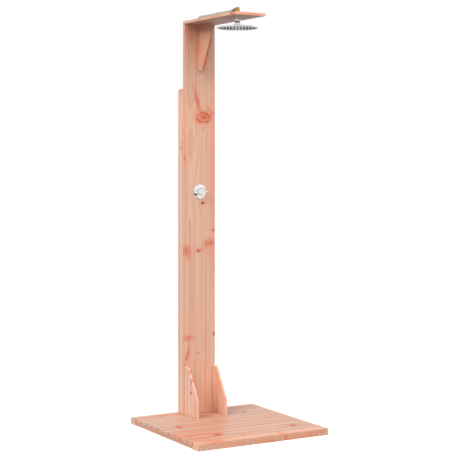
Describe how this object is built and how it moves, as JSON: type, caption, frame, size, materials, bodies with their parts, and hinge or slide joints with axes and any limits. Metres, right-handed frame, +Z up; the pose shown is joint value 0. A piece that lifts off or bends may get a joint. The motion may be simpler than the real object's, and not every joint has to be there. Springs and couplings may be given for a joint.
{
  "type": "outdoor shower post",
  "caption": "Free-standing wooden outdoor shower: slatted tray, boxed board post with a quarter-turn valve, and a board roof with a hose-fed, tilting rain head.",
  "frame": {"origin": "middle of the tray's footprint, on the ground", "axes": "+X right, -Y front, +Z up"},
  "size_m": [0.7, 0.7, 2.037],
  "materials": {
    "wood_tray": "planed, pale pink-orange fir",
    "wood_post": "planed, pale pink-orange fir with red knots",
    "screw_steel": "zinc plated",
    "chrome": "polished",
    "brass": "cast and turned",
    "nut_metal": "dark plated",
    "grey_hose": "smooth grey",
    "grey_plastic": "moulded",
    "black_rubber": "smooth",
    "white_plastic": "slippery",
    "ceramic": "lapped ceramic",
    "nozzle_rubber": "soft"
  },
  "bodies": {
    "post": {"front_beam": "wood_tray", "back_beam": "wood_tray", "slat_01": "wood_tray", "slat_02": "wood_tray", "slat_03": "wood_tray", "slat_04": "wood_tray", "slat_05": "wood_tray", "slat_06": "wood_tray", "slat_07": "wood_tray", "slat_08": "wood_tray", "slat_09": "wood_tray", "slat_10": "wood_tray", "joist_1": "wood_tray", "joist_2": "wood_tray", "joist_3": "wood_tray", "joist_4": "wood_tray", "side_board_left": "wood_post", "side_board_right": "wood_post", "front_board_lower": "wood_post", "front_board_middle": "wood_post", "front_board_upper": "wood_post", "roof_board": "wood_post", "roof_brace": "wood_post", "gusset_left": "wood_post", "gusset_right": "wood_post", "joist_screws": "screw_steel", "slat_screws": "screw_steel", "base_screws": "screw_steel", "front_board_screws": "screw_steel", "roof_screws": "screw_steel", "brace_screws": "screw_steel", "clip_screws": "screw_steel", "valve_body": "brass", "valve_cartridge": "brass", "valve_locknut": "brass", "inlet_connector": "brass", "roof_elbow": "brass", "hose_tails": "brass", "valve_fixed_disc": "ceramic", "stem_seal": "black_rubber", "escutcheon_gasket": "black_rubber", "neck_washer": "black_rubber", "escutcheon": "chrome", "riser_hose": "grey_hose", "union_nuts": "nut_metal", "hose_ferrules": "nut_metal", "hose_clips": "grey_plastic", "neck_coupling": "chrome", "ball_nipple": "chrome"},
    "handle": {"valve_stem": "brass", "valve_turning_disc": "ceramic", "handle_hub": "chrome", "handle_lever": "chrome", "handle_screw": "screw_steel", "handle_cap": "chrome"},
    "head_swivel": {"ball_seat_ring": "white_plastic"},
    "shower_head": {"head_collar": "chrome", "head_shell": "chrome", "face_plate": "chrome", "nozzle_mat": "nozzle_rubber"}
  },
  "joints": [
    {"name": "handle_turn", "type": "hinge", "parent": "post", "child": "handle", "pos_m": [0, 0.28, 1.145], "axis": [0, 1, 0], "range_deg": [0, 90]},
    {"name": "head_swivel", "type": "hinge", "parent": "post", "child": "head_swivel", "pos_m": [0, -0.098, 1.958], "axis": [0, 0, 1], "continuous": true},
    {"name": "head_tilt", "type": "hinge", "parent": "head_swivel", "child": "shower_head", "pos_m": [0, -0.098, 1.958], "axis": [1, 0, 0], "range_deg": [-15, 15]}
  ]
}
